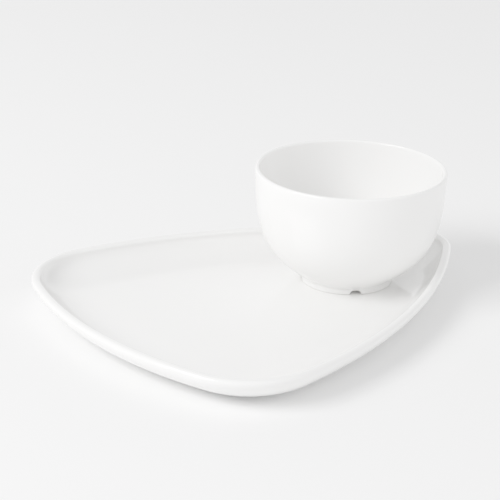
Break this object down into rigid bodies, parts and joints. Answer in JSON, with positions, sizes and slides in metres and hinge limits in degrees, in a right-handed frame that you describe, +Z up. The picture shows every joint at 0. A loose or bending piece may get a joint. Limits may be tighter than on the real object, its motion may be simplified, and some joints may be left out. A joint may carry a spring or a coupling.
{
  "type": "chip and dip server",
  "caption": "Rounded-triangle porcelain plate for chips with a loose round dip bowl standing at its narrow end.",
  "frame": {"origin": "on the table, under the middle of the plate's outline", "axes": "+X towards the plate's narrow end, where the bowl stands; +Z up"},
  "size_m": [0.301, 0.251, 0.087],
  "materials": {
    "plate_porcelain": "clear gloss glaze over white porcelain",
    "bowl_porcelain": "clear gloss glaze over white porcelain"
  },
  "bodies": {
    "plate": {"plate": "plate_porcelain"},
    "bowl": {"bowl": "bowl_porcelain"}
  },
  "joints": [
    {"name": "bowl_lift", "type": "slide", "parent": "plate", "child": "bowl", "axis": [0, 0, 1], "range_m": [0, 0.1]}
  ]
}
